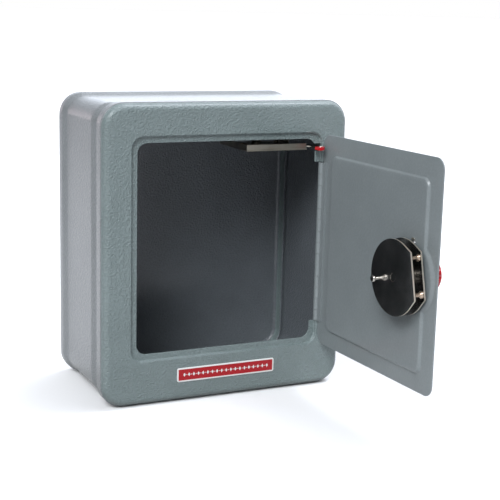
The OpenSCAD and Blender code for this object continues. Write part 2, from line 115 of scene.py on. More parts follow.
# ---------------------------------------------------------------------------------------------
# Mesh helpers
# ---------------------------------------------------------------------------------------------
def new_object(name, me):
    ob = bpy.data.objects.new(name, me)
    bpy.context.scene.collection.objects.link(ob)
    return ob


def object_of(name, bm):
    """Object from a bmesh, which is used up."""
    me = bpy.data.meshes.new(name)
    bm.to_mesh(me)
    bm.free()
    return new_object(name, me)


SHARP = 40.0  # edges with a greater angle, in degrees, stay sharp in the shading


def obj_from(name, verts, faces, mat, smooth=True, sharp=SHARP):
    """Object with one material from points in metres, its faces turned outwards."""
    me = bpy.data.meshes.new(name)
    me.from_pydata([tuple(v) for v in verts], [], faces)
    me.update()
    bm = bmesh.new()
    bm.from_mesh(me)
    bmesh.ops.remove_doubles(bm, verts=bm.verts, dist=1e-7)
    bmesh.ops.recalc_face_normals(bm, faces=bm.faces)
    bm.to_mesh(me)
    bm.free()
    if smooth:
        me.polygons.foreach_set("use_smooth", [True] * len(me.polygons))
        me.set_sharp_from_angle(angle=math.radians(sharp))
    me.materials.append(mat)
    return new_object(name, me)


def rect_loop(w, h, r, cz, y, n_arc=14, cx=0.0):
    """Closed loop round a rectangle with round corners, in the XZ plane at depth y, in mm."""
    out = []
    for sx, sz, a0 in ((1, 1, 0), (-1, 1, 90), (-1, -1, 180), (1, -1, 270)):
        for i in range(n_arc + 1):
            a = math.radians(a0 + 90 * i / n_arc)
            out.append(
                (
                    cx + sx * (w / 2 - r) + r * math.cos(a),
                    y,
                    cz + sz * (h / 2 - r) + r * math.sin(a),
                )
            )
    return out


def skin(loops, closed):
    """Quads between neighbouring loops with the same number of points."""
    n = len(loops[0])
    verts = [p for loop in loops for p in loop]
    faces = []
    m = len(loops)
    for j in range(m if closed else m - 1):
        a, b = j * n, ((j + 1) % m) * n
        for i in range(n):
            k = (i + 1) % n
            faces.append((a + i, a + k, b + k, b + i))
    return verts, faces


def capped(loops):
    """Open skin with its first and last loops closed by one face each."""
    verts, faces = skin(loops, False)
    n = len(loops[0])
    return verts, faces + [tuple(range(n)), tuple(range(len(verts) - n, len(verts)))]


def arc(cx, cy, r, a0, a1, n=6):
    """Points on an arc from angle a0 to a1, in degrees."""
    return [
        (
            cx + r * math.cos(math.radians(a0 + (a1 - a0) * i / n)),
            cy + r * math.sin(math.radians(a0 + (a1 - a0) * i / n)),
        )
        for i in range(n + 1)
    ]


def smooth(t):
    """Ease from 0 to 1, for a number or an array."""
    t = np.clip(t, 0, 1)
    return t * t * (3 - 2 * t)


def box_mesh(name, lo, hi, bevel=0.0, segs=3):
    """Box from lo to hi in metres with rounded edges, used as a cutter."""
    bm = bmesh.new()
    bmesh.ops.create_cube(bm, size=1.0)
    for v in bm.verts:
        v.co = Vector([lo[i] + (v.co[i] + 0.5) * (hi[i] - lo[i]) for i in range(3)])
    if bevel:
        bmesh.ops.bevel(
            bm, geom=bm.edges[:], offset=bevel, segments=segs, profile=0.5, affect="EDGES"
        )
    return object_of(name, bm)


def drill(name, centre, r, depth):
    """Cylinder cutter from front to back, centred on a point."""
    bm = bmesh.new()
    bmesh.ops.create_cone(bm, cap_ends=True, segments=48, radius1=r, radius2=r, depth=depth)
    turn = Vector((0, 1, 0)).to_track_quat("Z", "Y").to_matrix().to_4x4()
    bmesh.ops.transform(bm, matrix=Matrix.Translation(centre) @ turn, verts=bm.verts)
    return object_of(name, bm)


def cut(ob, cutters):
    """Take the cutters out of an object, then remove them."""
    for c in cutters:
        m = ob.modifiers.new("cut", "BOOLEAN")
        m.operation = "DIFFERENCE"
        m.solver = "EXACT"
        m.object = c
    apply_mods(ob)
    for c in cutters:
        bpy.data.objects.remove(c)


def apply_mods(ob):
    """Replace the mesh by what its modifiers make of it."""
    dg = bpy.context.evaluated_depsgraph_get()
    dg.update()
    me = bpy.data.meshes.new_from_object(ob.evaluated_get(dg))
    ob.modifiers.clear()
    old = ob.data
    ob.data = me
    bpy.data.meshes.remove(old)
    me.polygons.foreach_set("use_smooth", [True] * len(me.polygons))
    me.set_sharp_from_angle(angle=math.radians(SHARP))


def soften(ob, width, segs, angle):
    """Round the edges that are sharper than angle in degrees, width in metres."""
    b = ob.modifiers.new("soften", "BEVEL")
    b.width = width
    b.segments = segs
    b.limit_method = "ANGLE"
    b.angle_limit = math.radians(angle)
    b.use_clamp_overlap = True
    b.harden_normals = False
    n = ob.modifiers.new("weighted", "WEIGHTED_NORMAL")
    n.keep_sharp = False


# ---------------------------------------------------------------------------------------------
# Materials
# ---------------------------------------------------------------------------------------------
class Mat:
    """Small builder for a node material."""

    def __init__(self, name):
        self.m = bpy.data.materials.new(name)
        self.m.use_nodes = True
        self.t = self.m.node_tree
        self.b = self.t.nodes["Principled BSDF"]
        self.tc = self.add("ShaderNodeTexCoord")

    def add(self, kind, **props):
        n = self.t.nodes.new(kind)
        for k, v in props.items():
            setattr(n, k, v)
        return n

    def link(self, a, b):
        self.t.links.new(a, b)

    def set(self, **values):
        for k, v in values.items():
            self.b.inputs[k.replace("_", " ")].default_value = v

    def noise(self, scale, detail=2.0, rough=0.5, stretch=None):
        n = self.add("ShaderNodeTexNoise")
        n.inputs["Scale"].default_value = scale
        n.inputs["Detail"].default_value = detail
        n.inputs["Roughness"].default_value = rough
        if stretch:
            mp = self.add("ShaderNodeMapping")
            mp.inputs["Scale"].default_value = stretch
            self.link(self.tc.outputs["Object"], mp.inputs["Vector"])
            self.link(mp.outputs["Vector"], n.inputs["Vector"])
        else:
            self.link(self.tc.outputs["Object"], n.inputs["Vector"])
        return n.outputs["Fac"]

    def voronoi(self, scale, smoothness):
        n = self.add("ShaderNodeTexVoronoi", feature="SMOOTH_F1")
        n.inputs["Scale"].default_value = scale
        n.inputs["Smoothness"].default_value = smoothness
        self.link(self.tc.outputs["Object"], n.inputs["Vector"])
        return n.outputs["Distance"]

    def ramp(self, fac, *stops):
        """Colour between two stops of (position, colour)."""
        n = self.add("ShaderNodeValToRGB")
        e = n.color_ramp.elements
        e[0].position, e[0].color = stops[0][0], (*stops[0][1], 1)
        e[1].position, e[1].color = stops[1][0], (*stops[1][1], 1)
        self.link(fac, n.inputs["Fac"])
        return n.outputs["Color"]

    def math(self, op, a, b):
        n = self.add("ShaderNodeMath", operation=op)
        for i, v in enumerate((a, b)):
            if isinstance(v, (int, float)):
                n.inputs[i].default_value = v
            else:
                self.link(v, n.inputs[i])
        return n.outputs["Value"]

    def span(self, fac, lo, hi):
        n = self.add("ShaderNodeMapRange")
        n.inputs["To Min"].default_value = lo
        n.inputs["To Max"].default_value = hi
        self.link(fac, n.inputs["Value"])
        return n.outputs["Result"]

    def bump(self, height, strength, distance):
        n = self.add("ShaderNodeBump")
        n.inputs["Strength"].default_value = strength
        n.inputs["Distance"].default_value = distance
        self.link(height, n.inputs["Height"])
        return n.outputs["Normal"]


def enamel(name, dark, light, bump=1.0, rough=(0.26, 0.38), cell=0.95, depth=0.0006):
    """Grey-green hammered enamel: small round dimples, a little uneven in colour and gloss.
    cell is the width of a dimple in mm, depth the height of the bump in metres."""
    m = Mat(name)
    size = 1 / (cell * MM)
    warp = m.noise(size * 0.45, 2.0, 0.5)
    cells = m.voronoi(size * 0.8, smoothness=0.9)
    grain = m.noise(size * 1.3, 2.0, 0.55)
    broad = m.noise(14, 3.0, 0.6)
    patch = m.noise(55, 3.0, 0.6)
    height = m.math("ADD", m.math("MULTIPLY", cells, 0.8), m.math("MULTIPLY", grain, 0.7))
    height = m.math("ADD", height, m.math("MULTIPLY", warp, 0.35))
    normal = m.bump(height, bump, depth)
    mix = m.math("ADD", m.math("MULTIPLY", cells, 0.3), m.math("MULTIPLY", broad, 0.45))
    mix = m.math("ADD", mix, m.math("MULTIPLY", patch, 0.25))
    m.link(m.ramp(mix, (0.25, dark), (0.7, light)), m.b.inputs["Base Color"])
    m.link(m.span(patch, *rough), m.b.inputs["Roughness"])
    m.link(normal, m.b.inputs["Normal"])
    m.set(Coat_Weight=0.4, Coat_Roughness=0.2, Specular_IOR_Level=0.5)
    return m.m


def plated(name, base, rough=(0.14, 0.24), brush=None, bump=0.12, tint=None):
    """Nickel or brass plate with fine rubbing marks."""
    m = Mat(name)
    fine = m.noise(1800, 3.0, 0.6, stretch=brush or (1, 1, 1))
    broad = m.noise(60, 3.0, 0.55)
    second = tint or tuple(c * 0.86 for c in base)
    m.link(m.ramp(broad, (0.3, second), (0.7, base)), m.b.inputs["Base Color"])
    wear = m.math("MULTIPLY", m.math("ADD", fine, broad), 0.5)
    m.link(m.span(wear, *rough), m.b.inputs["Roughness"])
    m.link(m.bump(fine, bump, 0.00002), m.b.inputs["Normal"])
    m.set(Metallic=1.0)
    return m.m


def plastic(name, base, deep):
    """Moulded plastic with a faint orange peel and a little rubbing."""
    m = Mat(name)
    peel = m.noise(420, 2.0, 0.5)
    broad = m.noise(45, 4.0, 0.6)
    m.link(m.ramp(broad, (0.3, deep), (0.7, base)), m.b.inputs["Base Color"])
    m.link(m.span(broad, 0.2, 0.32), m.b.inputs["Roughness"])
    m.link(m.bump(peel, 0.12, 0.00006), m.b.inputs["Normal"])
    m.set(Coat_Weight=0.3, Coat_Roughness=0.12)
    return m.m


def ink(name, base):
    """Printed film."""
    m = Mat(name)
    broad = m.noise(90, 3.0, 0.6)
    thin = tuple(c * 0.93 for c in base)
    m.link(m.ramp(broad, (0.2, thin), (0.8, base)), m.b.inputs["Base Color"])
    m.link(m.span(broad, 0.35, 0.5), m.b.inputs["Roughness"])
    m.link(m.bump(m.noise(700, 2.0), 0.06, 0.00004), m.b.inputs["Normal"])
    return m.m


CASE_PAINT = enamel(
    "case_enamel", (0.15, 0.191, 0.189), (0.204, 0.255, 0.255), cell=0.85, depth=0.00068
)
BODY_PAINT = enamel("body_enamel", (0.174, 0.188, 0.194), (0.23, 0.247, 0.254))
# Darker enamel on the faces inside the case: painted shade for the dim inside of the box, darker than the case's
# own paint
INNER_SHADE_PAINT = enamel(
    "inner_enamel_painted_shade", (0.1, 0.11, 0.12), (0.14, 0.155, 0.17), bump=0.9, rough=(0.28, 0.42)
)
DOOR_PAINT = enamel(
    "door_enamel", (0.184, 0.208, 0.213), (0.222, 0.251, 0.256), bump=0.18, rough=(0.4, 0.5)
)
NICKEL = plated("nickel_plate", (0.78, 0.75, 0.69))
MIRROR = plated(
    "mirror_nickel", (0.58, 0.56, 0.54), rough=(0.13, 0.27), bump=0.05, tint=(0.36, 0.35, 0.34)
)
BRONZED = plated(
    "bronzed_steel", (0.5, 0.4, 0.31), rough=(0.2, 0.34), bump=0.1, tint=(0.3, 0.22, 0.16)
)
CUT_EDGE = plated("cut_edge", (0.95, 0.86, 0.74), rough=(0.3, 0.45), bump=0.1)
TRAY = plated(
    "tray_nickel",
    (0.44, 0.41, 0.35),
    rough=(0.26, 0.36),
    brush=(0.1, 1, 1),
    bump=0.08,
    tint=(0.3, 0.27, 0.22),
)
BRASS = plated("brass_plate", (0.8, 0.6, 0.3), rough=(0.2, 0.32))
RED = plastic("red_plastic", (0.6, 0.0, 0.008), (0.5, 0.0, 0.006))
LABEL_RED = ink("label_red", (0.42, 0.002, 0.008))
LABEL_WHITE = ink("label_white", (0.85, 0.83, 0.82))
DIAL_WHITE = ink("dial_white", (0.85, 0.85, 0.83))


# ---------------------------------------------------------------------------------------------
# Case: wrapped sheet, front pan, back pan
# ---------------------------------------------------------------------------------------------
def coat_inside(ob, mat, is_inside):
    """Give a second material to the faces that is_inside(centre, normal) picks."""
    ob.data.materials.append(mat)
    for p in ob.data.polygons:
        if is_inside(p.center, p.normal):
            p.material_index = 1


def faces_axis(centre, normal):
    """Whether a face looks towards the case's axis from front to back."""
    return Vector((centre.x, 0, centre.z - CASE_CZ * MM)).dot(normal) < -0.02


def pan_loop(inset, y):
    """Loop round the case's outline, drawn in by inset."""
    return rect_loop(
        CASE_W - 2 * inset, CASE_H - 2 * inset, CORNER_R - inset, CASE_CZ, y, n_arc=20
    )


def wrap_profile():
    """Outer line of the wrap as [inset, depth]: front crest, groove, flat, slope, rear crest."""
    y0, y1 = WRAP_Y0, WRAP_Y1
    f1 = y0 + FRONT_CREST
    g1 = f1 + GROOVE_DROP
    g2 = g1 + GROOVE_FLOOR
    flat = g2 + GROOVE_RISE
    r1 = y1 - REAR_CREST
    lip = y0 + LIP_R
    line = arc(LIP_R, lip, LIP_R, 270, 180, 5)
    line += [(0.0, lip + (f1 - lip) * i / 2) for i in (1, 2)]
    line += [(GROOVE * smooth(i / 10), f1 + GROOVE_DROP * i / 10) for i in range(1, 11)]
    line += [(GROOVE, (g1 + g2) / 2)]
    climb = STEP - GROOVE
    line += [(GROOVE + climb * smooth(i / 10), g2 + GROOVE_RISE * i / 10) for i in range(11)]
    line += [(STEP, flat + (r1 - SLOPE - flat) * i / 6) for i in range(1, 6)]
    line += [(STEP * smooth(1 - i / 10), r1 - SLOPE + SLOPE * i / 10) for i in range(11)]
    line += [(0.0, (r1 + y1) / 2)]
    line += arc(LIP_R, y1 - LIP_R, LIP_R, 180, 90, 5)
    return line


def make_wrap():
    outer = wrap_profile()
    inner = [(i + SHEET, y) for i, y in outer if WRAP_Y0 + 1 < y < WRAP_Y1 - 1]
    ends = [(SHEET - 0.05, WRAP_Y0), (SHEET, WRAP_Y0 + 0.3)]
    back = [(SHEET, WRAP_Y1 - 0.3), (SHEET - 0.05, WRAP_Y1)]
    profile = outer + back[::-1] + inner[::-1] + ends[::-1]
    verts, faces = skin([pan_loop(i, y) for i, y in profile], True)
    ob = obj_from("case_wrap", to_row(verts), faces, BODY_PAINT)
    openings = frame["record"]["physics"]["openings"]
    slot = next(o for o in openings if o["name"] == "coin_slot")
    lo, hi = (Vector(v) for v in slot["box_m"])
    pad = Vector((0.0015, 0.0004, 0))  # the stated box is smaller than the slot by this much
    lo, hi = lo - pad - Vector((0, 0, PAST * MM)), hi + pad
    cut(ob, [box_mesh("slot_cutter", lo, hi, 0.0009, 4)])
    # the faces that look inwards take the darker enamel, painted shade
    coat_inside(ob, INNER_SHADE_PAINT, faces_axis)
    soften(ob, 0.00022, 2, 50)
    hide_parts("body_wrap")
    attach(ob, "case")


def pan_bend():
    """Outer and inner lines of a pan, as [inset, depth], from its skirt's end round to the flat of
    its face. A little paint lies in the corner between the skirt and the wrap."""
    e, n = EDGE_R, 9
    outer = [(SHEET + 0.25, SKIRT), (SHEET, SKIRT - 0.25), (SHEET, e + 0.3)]
    outer += [(0.6, e + 0.05), (0.8, e - 0.16), (0.96, e - 0.42)]
    outer += arc(SHEET + e, e, e, 190, 270, n)
    inner = [(2 * SHEET - 0.25, SKIRT), (2 * SHEET, SKIRT - 0.25)]
    inner += arc(SHEET + e, e, e - SHEET, 180, 270, n)
    return outer, inner


def offset_loop(w, h, r, cz, off, y):
    """Loop round a rectangle that is let out by off."""
    return rect_loop(w + 2 * off, h + 2 * off, r + off, cz, y, n_arc=20)


def make_front():
    outer, inner = pan_bend()
    loops = [pan_loop(i, y) for i, y in outer]
    loops.append(pan_loop(FACE_INSET, 0))
    sunk = (SUNK_W, SUNK_H, SUNK_R, DOOR_CZ)
    gate = (GATE_W, GATE_H, GATE_R, DOOR_CZ)
    f, g, e = 0.9, 0.7, 0.3  # radii: rim of the recess, its foot, edge of the doorway
    loops.append(offset_loop(*sunk, 3.0, 0))
    loops += [offset_loop(*sunk, o, y) for o, y in arc(f, f, f, 270, 180, 6)]
    loops += [offset_loop(*sunk, o, y) for o, y in arc(-g, SUNK_D - g, g, 0, 90, 5)]
    back = SUNK_D + SHEET
    loops += [offset_loop(*gate, o, y) for o, y in arc(e, SUNK_D + e, e, 270, 180, 4)]
    loops += [offset_loop(*gate, o, y) for o, y in arc(e, back - e, e, 180, 90, 4)]
    behind = arc(-g, back - g - SHEET, g + SHEET, 90, 0, 5)
    loops += [offset_loop(*sunk, o, y) for o, y in behind]
    loops.append(offset_loop(*sunk, SHEET, SHEET + 0.2))
    loops.append(offset_loop(*sunk, SHEET + 0.2, SHEET))
    loops.append(offset_loop(*sunk, 4.0, SHEET))
    loops.append(pan_loop(FACE_INSET, SHEET))
    loops += [pan_loop(i, y) for i, y in inner[::-1]]
    verts, faces = skin(loops, True)
    ob = obj_from("front_pan", to_row(verts), faces, CASE_PAINT)
    notch_x = GATE_W / 2 - 3  # both notches are cut from within the doorway
    hinge_lo = point(notch_x, -PAST, HINGE_Z0)
    hinge_hi = point(PIN.x / MM + KNUCKLE_ROOM, back + PAST, HINGE_Z1)
    slide_lo = point(notch_x, -PAST, TRIGGER_Z0)
    slide_hi = point(SUNK_W / 2 - 0.02, back + PAST, TRIGGER_Z1)
    cut(
        ob,
        [
            box_mesh("hinge_cutter", hinge_lo, hinge_hi, 0.0008),
            box_mesh("trigger_cutter", slide_lo, slide_hi, 0.0007),
        ],
    )
    # the faces towards the inside take the darker enamel, painted shade
    coat_inside(ob, INNER_SHADE_PAINT, lambda c, n: n.y > 0.5)
    soften(ob, 0.0002, 2, 50)
    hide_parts("front_frame")
    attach(ob, "case")


def make_rear():
    shift = REAR_SKIRT - (CASE_D - SKIRT)

    def flipped(line):
        """The front pan's line turned to face the back, with the back pan's own skirt."""
        return [(i, CASE_D - (y if y < SKIRT - 1 else y - shift)) for i, y in line]

    outer, inner = (flipped(line) for line in pan_bend())
    verts, faces = capped([pan_loop(i, y) for i, y in outer[::-1] + inner])
    ob = obj_from("rear_pan", to_row(verts), faces, CASE_PAINT)
    # the faces towards the inside take the darker enamel, painted shade
    coat_inside(ob, INNER_SHADE_PAINT, lambda c, n: n.y < -0.5)
    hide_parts("rear_cover")
    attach(ob, "case")


make_wrap()
make_front()
make_rear()


# ---------------------------------------------------------------------------------------------
# Door: one pressed sheet whose panel and round seat rise towards the inside
# ---------------------------------------------------------------------------------------------
def rect_sdf(x, z, w, h, r, cz):
    """Distance outside the edge of a rectangle with round corners, negative within it."""
    qx = np.abs(x) - (w / 2 - r)
    qz = np.abs(z - cz) - (h / 2 - r)
    return np.hypot(np.maximum(qx, 0), np.maximum(qz, 0)) + np.minimum(np.maximum(qx, qz), 0) - r


def door_rise(x, z):
    """How far the sheet is pressed inwards, from 0 to PANEL_RISE. The panel and the seat flow into
    each other with a small fillet where their slopes cross."""
    slope = 1.5  # width of the panel's slope
    from_edge = rect_sdf(x, z, PANEL_W, PANEL_H, PANEL_R, PANEL_CZ)
    panel = smooth((slope / 2 - from_edge) / slope)
    seat = smooth((SEAT_FOOT - np.hypot(x - DIAL_X, z - DIAL_Z)) / (SEAT_FOOT - SEAT_R))
    top = np.maximum(panel, seat)
    low = np.minimum(panel, seat)
    reach, fade, fillet = 0.35, 0.25, 0.09  # as shares of the rise
    near = np.clip(1 - (top - low) / reach, 0, 1) * np.clip(low / fade, 0, 1)
    return PANEL_RISE * np.minimum(1.0, top + fillet * near * near)


def solve_rays(angles, inside):
    """Distance along each ray from the panel's middle at which inside() turns false, by halving
    the stretch between a distance that is always inside and one that is always outside."""
    lo = np.full(len(angles), 20.0)
    hi = np.full(len(angles), 110.0)
    for _ in range(44):
        mid = (lo + hi) / 2
        x, z = mid * np.cos(angles), PANEL_CZ + mid * np.sin(angles)
        ok = inside(x, z)
        lo, hi = np.where(ok, mid, lo), np.where(ok, hi, mid)
    return (lo + hi) / 2


def door_angles(count):
    """Angles of rays from the panel's middle, closer together round the corners and the seat."""
    a = np.linspace(0, 2 * np.pi, 6001)[:-1]
    t = solve_rays(a, lambda x, z: door_rise(x, z) > PANEL_RISE / 2)
    x, z = t * np.cos(a), t * np.sin(a)
    dx, dz = np.roll(x, -1) - x, np.roll(z, -1) - z
    step = np.hypot(dx, dz)
    turn = np.abs(np.unwrap(np.arctan2(dz, dx)))
    bend = np.minimum(np.abs(np.diff(np.append(turn, turn[0]))), 0.2)
    per_mm, per_radian = 0.8, 22
    weight = np.cumsum(step * per_mm + bend * per_radian)
    weight = np.insert(weight, 0, 0)[:-1] / weight[-1]
    return np.interp(np.arange(count) / count, weight, a)


def make_door():
    ang = door_angles(560)
    ca, sa = np.cos(ang), np.sin(ang)

    def at(t, y):
        """Loop at distances t along the rays, at depth y."""
        return [(u * c, y, PANEL_CZ + u * s) for u, c, s in zip(t, ca, sa)]

    def rim(off):
        """Distances to the door's edge, drawn in by off."""
        return solve_rays(ang, lambda x, z: rect_sdf(x, z, DOOR_W, DOOR_H, DOOR_R, DOOR_CZ) < -off)

    # One loop up the slope for each of these shares of the rise
    levels = [0.004, 0.03, 0.09, 0.18, 0.3, 0.42, 0.5, 0.58, 0.7, 0.82, 0.91, 0.97, 0.996]
    slope = [
        (solve_rays(ang, lambda x, z, v=v: door_rise(x, z) > v * PANEL_RISE), v * PANEL_RISE)
        for v in levels
    ]
    e = 0.35  # rounding of the cut edge
    round_out = [(rim(o), y) for o, y in arc(e, e, e, 270, 180, 4)]
    round_in = [(rim(o), y) for o, y in arc(e, SHEET - e, e, 180, 90, 4)]
    foot, crest = slope[0][0] + 0.05, slope[-1][0] * 0.97
    loops = [at(crest, PANEL_RISE)]
    loops += [at(t, h) for t, h in slope[::-1]]
    loops += [at(foot, 0.0)]
    loops += [at(t, y) for t, y in round_out + round_in]
    loops += [at(foot, SHEET)]
    loops += [at(t, h + SHEET) for t, h in slope]
    loops += [at(crest, PANEL_RISE + SHEET)]
    verts, faces = capped(loops)
    ob = obj_from("door_sheet", to_row(verts), faces, DOOR_PAINT)
    tang_lo = point(TANG_X - 1.6, 0, DIAL_Z + SEAT_R - 0.9)
    tang_hi = point(TANG_X + 1.6, 4, DIAL_Z + SEAT_R + 0.7)
    edge_lo = point(PIN.x / MM - KNUCKLE_ROOM, -PAST, HINGE_Z0)
    edge_hi = point(PIN.x / MM + PAST, SHEET + PAST, HINGE_Z1)
    cut(
        ob,
        [
            drill("bush_cutter", point(DIAL_X, 2, DIAL_Z), 4 * MM, 20 * MM),
            box_mesh("tang_cutter", tang_lo, tang_hi),
            box_mesh("edge_cutter", edge_lo, edge_hi),
        ],
    )
    ob.data.transform(TO_OPEN)
    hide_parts("door_panel")
    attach(ob, "door")


make_door()


# ---------------------------------------------------------------------------------------------
# CAD nodes that keep their shape
# ---------------------------------------------------------------------------------------------
def dress(node, mat, bevel, segs=2, edge=None):
    """Give a node its material and round its edges by bevel, in metres. edge is a second material,
    for the cut edges of a flat plate."""
    ob = NODES[node]
    me = ob.data
    me.materials.clear()
    me.materials.append(mat)
    me.polygons.foreach_set("use_smooth", [True] * len(me.polygons))
    if edge:
        me.materials.append(edge)
        flat = max(me.polygons, key=lambda f: f.area).normal.copy()
        for f in me.polygons:
            f.material_index = int(abs(f.normal.dot(flat)) < 0.5)
    w = ob.modifiers.new("weld", "WELD")
    w.merge_threshold = 1e-6
    d = ob.modifiers.new("flats", "DECIMATE")
    d.decimate_type = "DISSOLVE"
    d.angle_limit = math.radians(0.3)
    soften(ob, bevel, segs, 30.0)


dress("hinge_frame_leaf", DOOR_PAINT, 0.00015)
dress("hinge_door_leaf", DOOR_PAINT, 0.00015)
dress("hinge_pin", NICKEL, 0.0002)
dress("lock_keeper", NICKEL, 0.0002)
dress("dial_bush", BRASS, 0.00015)
dress("spring_washer", NICKEL, 0.0001)
dress("index_pointer", NICKEL, 0.00012)
dress("dial_plate", RED, 0.0002)
dress("dial_knob", RED, 0.0003)
dress("knob_screw", NICKEL, 0.0001)
dress("dial_spindle", MIRROR, 0.0001)
dress("outer_lock_plate", MIRROR, 0.00018, 3, edge=CUT_EDGE)
dress("inner_lock_plate", MIRROR, 0.00018, 3, edge=CUT_EDGE)
dress("plate_spacers", NICKEL, 0.0001)
dress("lock_posts", BRONZED, 0.0001)
dress("drive_stud", NICKEL, 0.0003, 3)
dress("alarm_tray", TRAY, 0.0003, 3)
dress("gong", BRASS, 0.0002)
dress("gong_post", NICKEL, 0.0001)
dress("hammer", NICKEL, 0.0001)
dress("hammer_pin", NICKEL, 0.0001)
dress("trigger_slide", NICKEL, 0.0001)
dress("trigger_tip", RED, 0.0004, 3)
dress("tip_rivet", NICKEL, 0.0002, 3)


# ---------------------------------------------------------------------------------------------
# Label: raised white border round a red field with a row of plain lozenges
# ---------------------------------------------------------------------------------------------
PROUD = 0.05  # how far printed marks stand out of a face, in mm


def prism(bm, outline, y0, y1):
    """Closed plate from an outline of (x, z) points, between two depths."""
    near = [bm.verts.new(v) for v in to_row([(x, y0, z) for x, z in outline])]
    far = [bm.verts.new(v) for v in to_row([(x, y1, z) for x, z in outline])]
    bm.faces.new(near)
    bm.faces.new(far[::-1])
    for i in range(len(near)):
        k = (i + 1) % len(near)
        bm.faces.new((near[i], far[i], far[k], near[k]))


def printed(name, bm, mat):
    """Object of printed marks from a bmesh."""
    bmesh.ops.recalc_face_normals(bm, faces=bm.faces)
    ob = object_of(name, bm)
    ob.data.materials.append(mat)
    return ob


def make_label():
    lo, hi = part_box("label_plate")
    w, h = (hi.x - lo.x) / MM, (hi.z - lo.z) / MM
    cx, cz = (hi.x + lo.x) / 2 / MM, (hi.z + lo.z) / 2 / MM
    front = (lo.y - front_lo.y) / MM
    border, field = 0.95, front + 0.12  # width of the white border, depth of the red field

    def loop(inset, y):
        r = max(1.3 - inset, 0.45)
        return rect_loop(w - 2 * inset, h - 2 * inset, r, cz, y, 8, cx)

    loops = [loop(0, 0), loop(0, front + 0.14), loop(0.05, front + 0.04), loop(0.16, front)]
    loops += [loop(border - 0.06, front), loop(border, front + 0.04), loop(border, field)]
    verts, faces = capped(loops)
    ob = obj_from("label", to_row(verts), faces, LABEL_WHITE, sharp=30)
    coat_inside(ob, LABEL_RED, lambda c, _: abs(c.y / MM - FACE_Y - field) < 0.01)
    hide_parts("label_plate")
    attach(ob, "case")

    bm = bmesh.new()
    count, pitch, half_w, half_h, dot_r = 19, 3.25, 0.85, 1.3, 0.3
    y0, y1 = field - PROUD, field + PROUD
    for i in range(count):
        x = cx + (i - (count - 1) / 2) * pitch
        prism(bm, [(x - half_w, cz), (x, cz + half_h), (x + half_w, cz), (x, cz - half_h)], y0, y1)
        if i < count - 1:
            turns = [a * math.pi / 6 for a in range(12)]
            mid = x + pitch / 2
            ring = [(mid + dot_r * math.cos(a), cz + dot_r * math.sin(a)) for a in turns]
            prism(bm, ring, y0, y1)
    marks = printed("label_lozenges", bm, LABEL_WHITE)
    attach(marks, "case")


make_label()


# ---------------------------------------------------------------------------------------------
# Dial: graduations and numbers printed on its rim, and the coil spring of the bell hammer
# ---------------------------------------------------------------------------------------------
def make_dial_marks():
    face = -4.5  # depth of the dial's printed face, in front of the case
    number_r, number_size = 13.05 * MM, 3.1 * MM
    bm = bmesh.new()
    for i in range(50):
        a = math.radians(i * 360 / 50)
        ca, sa = math.cos(a), math.sin(a)
        r0, half = (15.2, 0.2) if i % 5 == 0 else (16.1, 0.12)
        r1 = 17.3
        pts = [(r0, -half), (r1, -half), (r1, half), (r0, half)]
        outline = [(DIAL_X + r * sa + t * ca, DIAL_Z + r * ca - t * sa) for r, t in pts]
        prism(bm, outline, face - PROUD, face + PROUD)
    ticks = printed("dial_ticks", bm, DIAL_WHITE)
    ticks.data.transform(TO_OPEN)
    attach(ticks, "lock")
    centre = Vector(point(DIAL_X, face, DIAL_Z))
    for i in range(10):
        cu = bpy.data.curves.new(f"dial_number_{i}", "FONT")
        cu.body = str(i * 5)
        cu.align_x = cu.align_y = "CENTER"
        cu.size, cu.extrude, cu.resolution_u = number_size, PROUD * MM, 4
        tmp = bpy.data.objects.new("tmp", cu)
        me = bpy.data.meshes.new_from_object(tmp)
        bpy.data.objects.remove(tmp)
        bpy.data.curves.remove(cu)
        me.transform(
            TO_OPEN
            @ Matrix.Translation(centre)
            @ Matrix.Rotation(math.radians(i * 36), 4, "Y")
            @ Matrix.Translation((0, 0, number_r))
            @ Matrix.Rotation(math.radians(90), 4, "X")
        )
        me.materials.clear()
        me.materials.append(DIAL_WHITE)
        ob = new_object(f"dial_number_{i * 5}", me)
        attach(ob, "lock")


def make_coil():
    """The bell hammer's spring: a round wire swept along a helix in the node's box."""
    lo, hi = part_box("hammer_spring")
    cx, cy = (lo.x + hi.x) / 2, (lo.y + hi.y) / 2
    wire, slack = 0.00036, 0.00005
    r = (hi.x - lo.x) / 2 - wire - slack
    turns, per_turn, ring = 5.5, 24, 10
    n = int(turns * per_turn)
    path = []
    for i in range(n + 1):
        t = i / n
        z = lo.z + wire + (hi.z - lo.z - 2 * wire) * t
        a = 2 * math.pi * turns * t
        path.append(Vector((cx + r * math.cos(a), cy + r * math.sin(a), z)))
    verts, faces = [], []
    for i, p in enumerate(path):
        d = (path[min(i + 1, n)] - path[max(i - 1, 0)]).normalized()
        out = Vector((p.x - cx, p.y - cy, 0)).normalized()
        side = d.cross(out).normalized()
        for k in range(ring):
            b = 2 * math.pi * k / ring
            verts.append(p + wire * (out * math.cos(b) + side * math.sin(b)))
    for i in range(n):
        for k in range(ring):
            a, b = i * ring + k, i * ring + (k + 1) % ring
            faces.append((a, b, b + ring, a + ring))
    faces += [tuple(range(ring)), tuple(range(n * ring, (n + 1) * ring))]
    ob = obj_from("hammer_coil", verts, faces, NICKEL)
    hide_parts("hammer_spring")
    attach(ob, "case")


make_dial_marks()
make_coil()

# ---------------------------------------------------------------------------------------------
# Stage, light, camera
# ---------------------------------------------------------------------------------------------
scene = bpy.context.scene
scene.view_settings.view_transform = "Standard"
scene.view_settings.look = "None"
scene.view_settings.exposure = 0.0
MIX_FACTOR, MIX_A, MIX_B, MIX_RESULT = 0, 6, 7, 2  # colour sockets of a Mix node


def grey(v):
    return (v, v, v)


